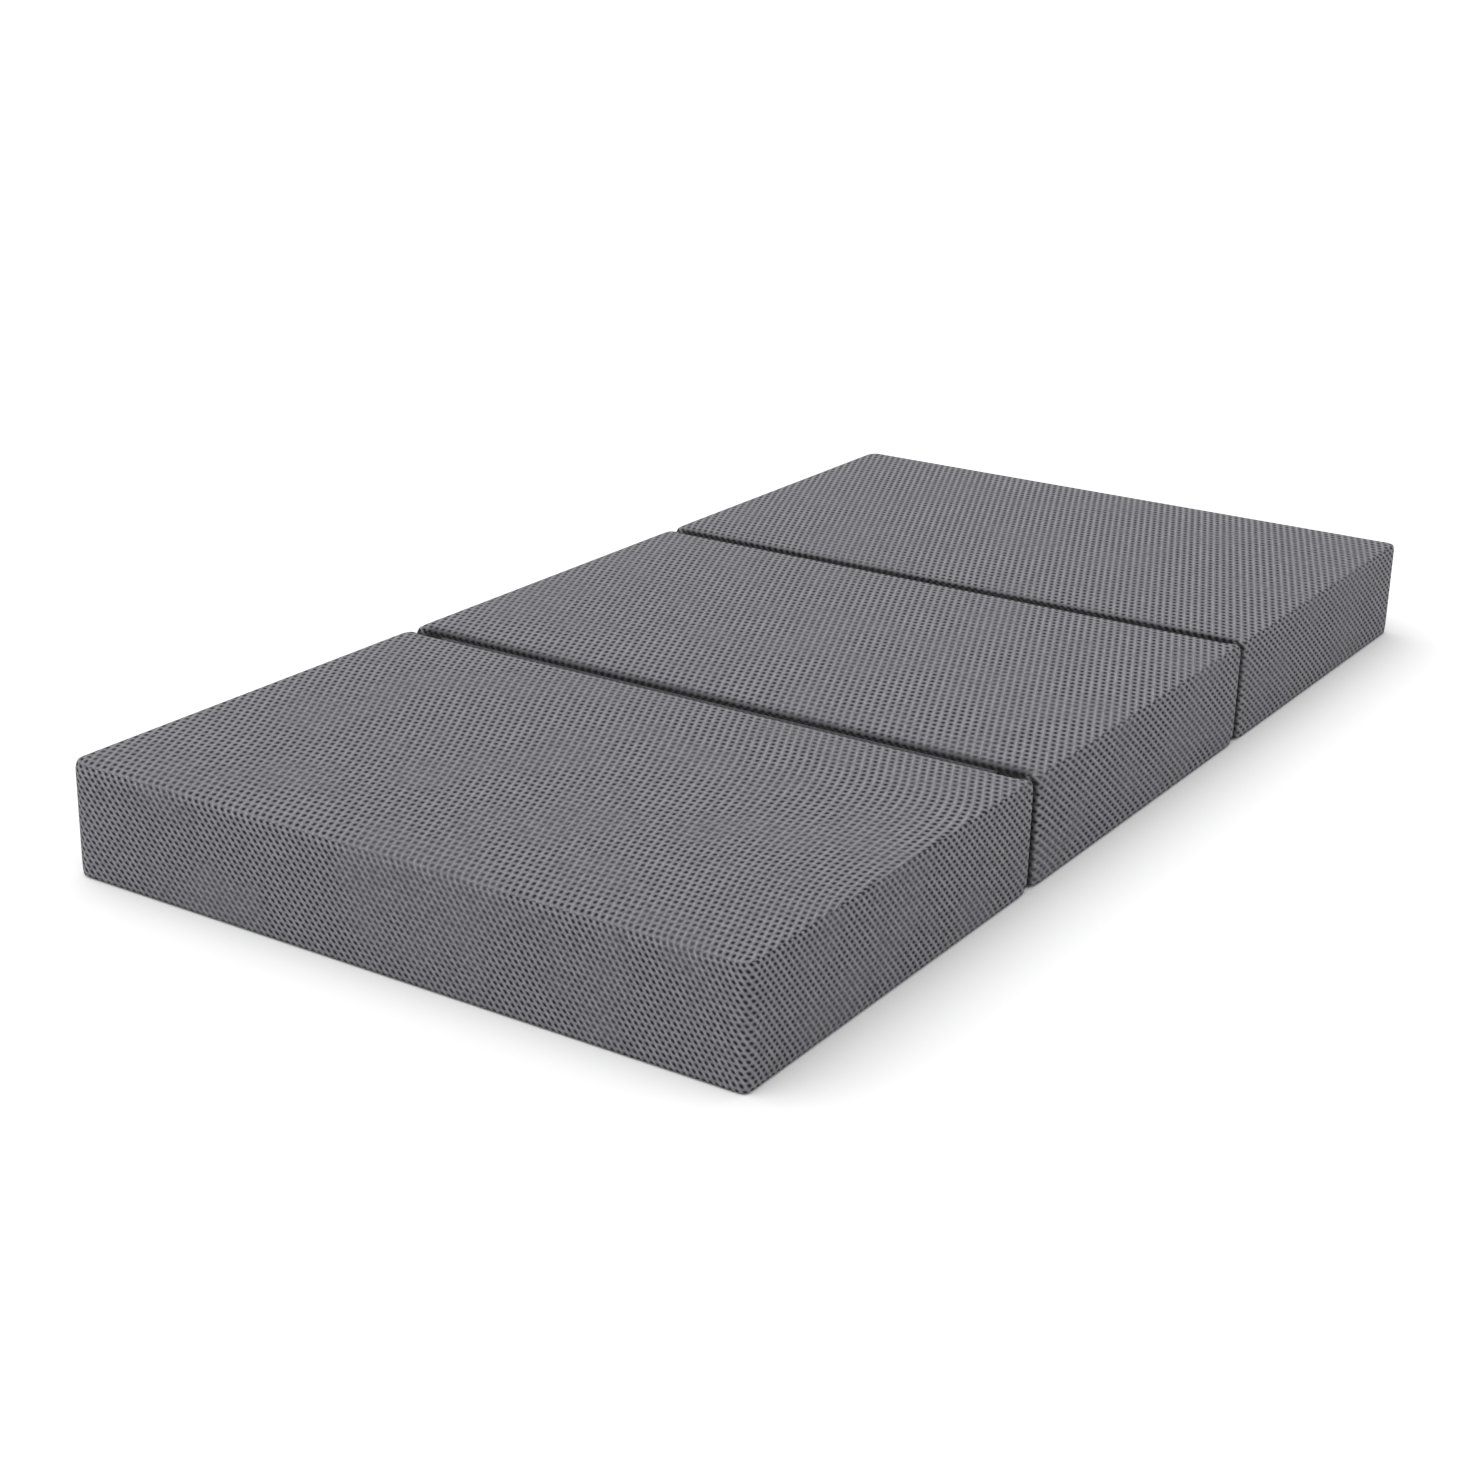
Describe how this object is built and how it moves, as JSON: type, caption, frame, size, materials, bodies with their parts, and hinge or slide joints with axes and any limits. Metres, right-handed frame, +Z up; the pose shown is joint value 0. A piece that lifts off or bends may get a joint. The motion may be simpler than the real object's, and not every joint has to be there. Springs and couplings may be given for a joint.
{
  "type": "tri-fold memory foam mattress",
  "caption": "Floor mattress of three foam panels in zipped mesh covers, joined by fabric hinges so that it folds into a flat stack.",
  "frame": {"origin": "centre of the underside of the middle panel, on the floor, which is also the centre of the whole mattress lying flat", "axes": "+X across the width, with the zips on the -X side; +Y along the length from the foot panel to the head panel; +Z up"},
  "size_m": [0.9702, 1.905, 0.15],
  "materials": {
    "cover_mesh": "matte",
    "grip_base": "matte",
    "liner_knit": "matte",
    "memory_foam": "matte",
    "support_foam": "matte",
    "zip_tape": "matte",
    "zip_coil": "satin",
    "zip_metal": "satin",
    "hinge_web": "matte",
    "care_label": "satin"
  },
  "bodies": {
    "middle_panel": {"middle_cover_top": "cover_mesh", "middle_cover_border": "cover_mesh", "middle_cover_base": "grip_base", "middle_liner_sleeve": "liner_knit", "middle_liner_ends": "liner_knit", "middle_memory_foam": "memory_foam", "middle_support_foam": "support_foam", "middle_zip_tapes": "zip_tape", "middle_zip_coils": "zip_coil", "middle_zip_stops": "zip_metal", "foot_hinge_web": "hinge_web", "head_hinge_web": "hinge_web"},
    "foot_panel": {"foot_cover_top": "cover_mesh", "foot_cover_border": "cover_mesh", "foot_cover_base": "grip_base", "foot_liner_sleeve": "liner_knit", "foot_liner_ends": "liner_knit", "foot_memory_foam": "memory_foam", "foot_support_foam": "support_foam", "foot_zip_tapes": "zip_tape", "foot_zip_coils": "zip_coil", "foot_zip_stops": "zip_metal", "foot_care_label": "care_label"},
    "head_panel": {"head_cover_top": "cover_mesh", "head_cover_border": "cover_mesh", "head_cover_base": "grip_base", "head_liner_sleeve": "liner_knit", "head_liner_ends": "liner_knit", "head_memory_foam": "memory_foam", "head_support_foam": "support_foam", "head_zip_tapes": "zip_tape", "head_zip_coils": "zip_coil", "head_zip_stops": "zip_metal"},
    "foot_zip_slider": {"foot_zip_slider": "zip_metal"},
    "foot_zip_pull": {"foot_zip_pull": "zip_metal"},
    "middle_zip_slider": {"middle_zip_slider": "zip_metal"},
    "middle_zip_pull": {"middle_zip_pull": "zip_metal"},
    "head_zip_slider": {"head_zip_slider": "zip_metal"},
    "head_zip_pull": {"head_zip_pull": "zip_metal"}
  },
  "joints": [
    {"name": "foot_fold", "type": "hinge", "parent": "middle_panel", "child": "foot_panel", "pos_m": [0, -0.318, 0.1503], "axis": [-1, 0, 0], "range_deg": [0, 179.9], "deforming": ["foot_hinge_web"]},
    {"name": "head_fold", "type": "hinge", "parent": "middle_panel", "child": "head_panel", "pos_m": [0, 0.318, -0.0003], "axis": [-1, 0, 0], "range_deg": [0, 179.9], "deforming": ["head_hinge_web"]},
    {"name": "foot_zip_slide", "type": "slide", "parent": "foot_panel", "child": "foot_zip_slider", "axis": [0, -1, 0], "range_m": [0, 0.5044]},
    {"name": "foot_zip_pull_swing", "type": "hinge", "parent": "foot_zip_slider", "child": "foot_zip_pull", "pos_m": [-0.4857, -0.3833, 0.052], "axis": [0, 0, -1], "range_deg": [0, 180]},
    {"name": "middle_zip_slide", "type": "slide", "parent": "middle_panel", "child": "middle_zip_slider", "axis": [0, -1, 0], "range_m": [0, 0.5044]},
    {"name": "middle_zip_pull_swing", "type": "hinge", "parent": "middle_zip_slider", "child": "middle_zip_pull", "pos_m": [-0.4857, 0.2527, 0.052], "axis": [0, 0, -1], "range_deg": [0, 180]},
    {"name": "head_zip_slide", "type": "slide", "parent": "head_panel", "child": "head_zip_slider", "axis": [0, -1, 0], "range_m": [0, 0.5044]},
    {"name": "head_zip_pull_swing", "type": "hinge", "parent": "head_zip_slider", "child": "head_zip_pull", "pos_m": [-0.4857, 0.8887, 0.052], "axis": [0, 0, -1], "range_deg": [0, 180]}
  ]
}
